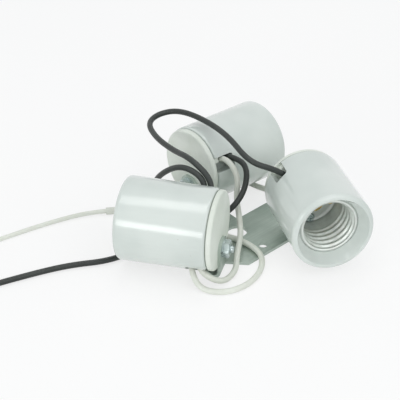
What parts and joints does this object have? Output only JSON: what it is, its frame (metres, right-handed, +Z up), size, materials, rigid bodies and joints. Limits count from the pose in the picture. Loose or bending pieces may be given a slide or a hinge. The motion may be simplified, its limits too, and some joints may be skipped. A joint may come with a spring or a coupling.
{
  "type": "porcelain lamp socket cluster",
  "caption": "Ring of glazed porcelain screw lamp sockets screwed to the upright tabs of one bent steel bracket, wired in parallel with black and white leads.",
  "frame": {"origin": "centre of the bracket's centre hole, on the plate's underside", "axes": "+Z up out of the plate; +X to the right and +Y to the back with the leads leaving on the left"},
  "size_m": [0.1972, 0.1294, 0.0515],
  "materials": {
    "glazed_porcelain": "glossy pale grey-green glaze",
    "bare_porcelain": "unglazed off-white porcelain",
    "aluminium_shell": "bright rolled sheet",
    "contact_brass": "plain brass",
    "zinc_hardware": "bluish zinc plate",
    "zinc_plate": "dull zinc-plated sheet steel",
    "black_insulation": "satin black insulation",
    "white_insulation": "satin white insulation",
    "white_sleeve": "matt off-white sleeve",
    "tinned_copper": "tinned stranded copper"
  },
  "bodies": {
    "root": {"back_centre_contact": "contact_brass", "back_contact_rivet": "contact_brass", "back_lock_washer": "zinc_hardware", "back_mounting_nut": "zinc_hardware", "back_mounting_screw": "zinc_hardware", "back_screw_shell": "aluminium_shell", "back_shell_eyelet": "contact_brass", "back_socket_body": "glazed_porcelain", "back_socket_cap": "bare_porcelain", "black_jumper_left_back": "black_insulation", "black_jumper_left_right": "black_insulation", "black_lead": "black_insulation", "black_lead_bare_end": "tinned_copper", "bracket": "zinc_plate", "left_centre_contact": "contact_brass", "left_contact_rivet": "contact_brass", "left_lock_washer": "zinc_hardware", "left_mounting_nut": "zinc_hardware", "left_mounting_screw": "zinc_hardware", "left_screw_shell": "aluminium_shell", "left_shell_eyelet": "contact_brass", "left_socket_body": "glazed_porcelain", "left_socket_cap": "bare_porcelain", "right_centre_contact": "contact_brass", "right_contact_rivet": "contact_brass", "right_lock_washer": "zinc_hardware", "right_mounting_nut": "zinc_hardware", "right_mounting_screw": "zinc_hardware", "right_screw_shell": "aluminium_shell", "right_shell_eyelet": "contact_brass", "right_socket_body": "glazed_porcelain", "right_socket_cap": "bare_porcelain", "white_jumper_back_right": "white_insulation", "white_jumper_left_back": "white_insulation", "white_lead": "white_insulation", "white_lead_bare_end": "tinned_copper", "white_lead_sleeve": "white_sleeve", "white_loop": "white_insulation"}
  },
  "joints": []
}
